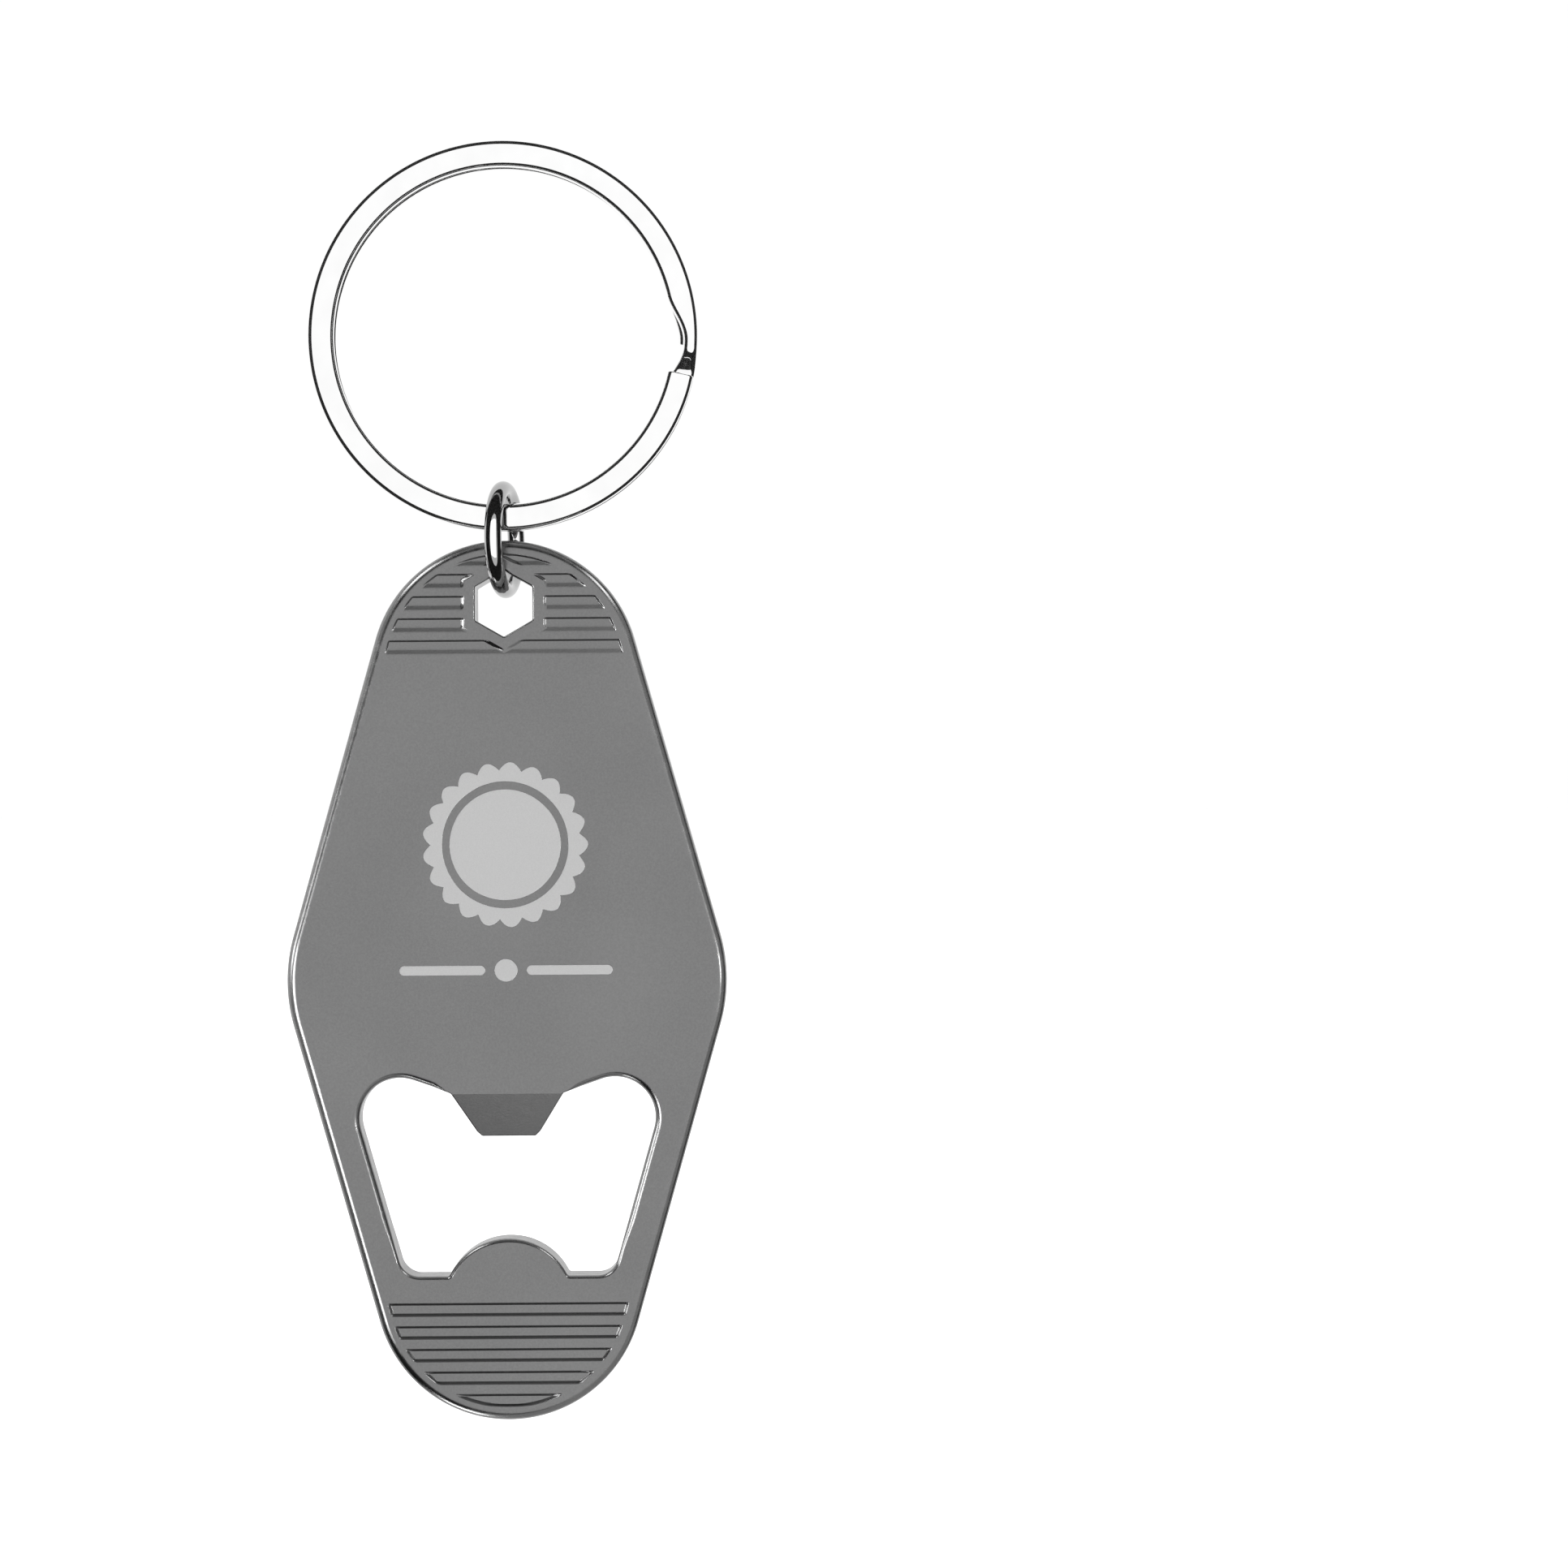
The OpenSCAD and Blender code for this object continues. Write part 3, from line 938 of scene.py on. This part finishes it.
def softbox(middle, distance, name, around, off, size, radiance):
    """A soft light at an angle around the Y axis, from +X up, and at an angle off the camera's side."""
    around, off = math.radians(around), math.radians(off)
    spoke = Vector((math.cos(around) * math.sin(off), -math.cos(off), math.sin(around) * math.sin(off)))
    data = bpy.data.lights.new(name, "AREA")
    data.shape = "RECTANGLE"
    data.size, data.size_y = size
    data.energy = math.pi * size[0] * size[1] * radiance
    obj = bpy.data.objects.new(name, data)
    obj.location = middle + spoke * distance
    obj.rotation_euler = (-spoke).to_track_quat("-Z", "Y").to_euler()
    obj.visible_camera = False
    bpy.context.scene.collection.objects.link(obj)
    return obj


def shine_only_on(obj, lights):
    """Keeps some lights off everything but one piece."""
    group = bpy.data.collections.new(f"lit_{obj.name}")
    group.objects.link(obj)
    for light in lights:
        light.light_linking.receiver_collection = group


def surroundings():
    world = bpy.data.worlds.new("studio")
    world.use_nodes = True
    background = world.node_tree.nodes["Background"]
    background.inputs["Color"].default_value = (1, 1, 1, 1)
    background.inputs["Strength"].default_value = WORLD_STRENGTH
    bpy.context.scene.world = world


def camera():
    """Looks at the plate from in front, rolled a little, with the plate left of the picture's middle."""
    data = bpy.data.cameras.new("camera")
    data.sensor_width = 36
    data.lens = data.sensor_width * CAMERA_DISTANCE / VIEW_WIDTH
    data.clip_start = 0.01
    data.clip_end = 30
    obj = bpy.data.objects.new("camera", data)
    obj.location = centre_of("opener_plate") + Vector((PLATE_OFF_X, -CAMERA_DISTANCE, PLATE_OFF_Z))
    obj.rotation_euler = (math.pi / 2, CAMERA_ROLL, 0)
    bpy.context.scene.collection.objects.link(obj)
    bpy.context.scene.camera = obj


def studio(plate, jump_ring):
    low, high = cad_box
    middle = (Vector(low) + Vector(high)) / 2
    surroundings()
    floor(low[2] - FLOOR_DROP)
    dark_flag(middle)
    above = softbox(middle, ABOVE_DISTANCE, *ABOVE_LIGHT)
    above.visible_glossy = False
    shine_only_on(plate, [softbox(middle, PLATE_LIGHT_DISTANCE, *row) for row in PLATE_LIGHTS])
    shine_only_on(jump_ring, [softbox(middle, RING_LIGHT_DISTANCE, *RING_LIGHT)])
    camera()
    bpy.context.scene.view_settings.view_transform = "Standard"


plate, jump_ring = make_plate(), make_jump_ring()
for made, node, slot in (
    (make_split_ring(), "split_ring", "ring_nickel"),
    (jump_ring, "jump_ring", "ring_nickel"),
    (plate, "opener_plate", "plate_gunmetal"),
):
    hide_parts(node)
    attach(made, node)

studio(plate, jump_ring)
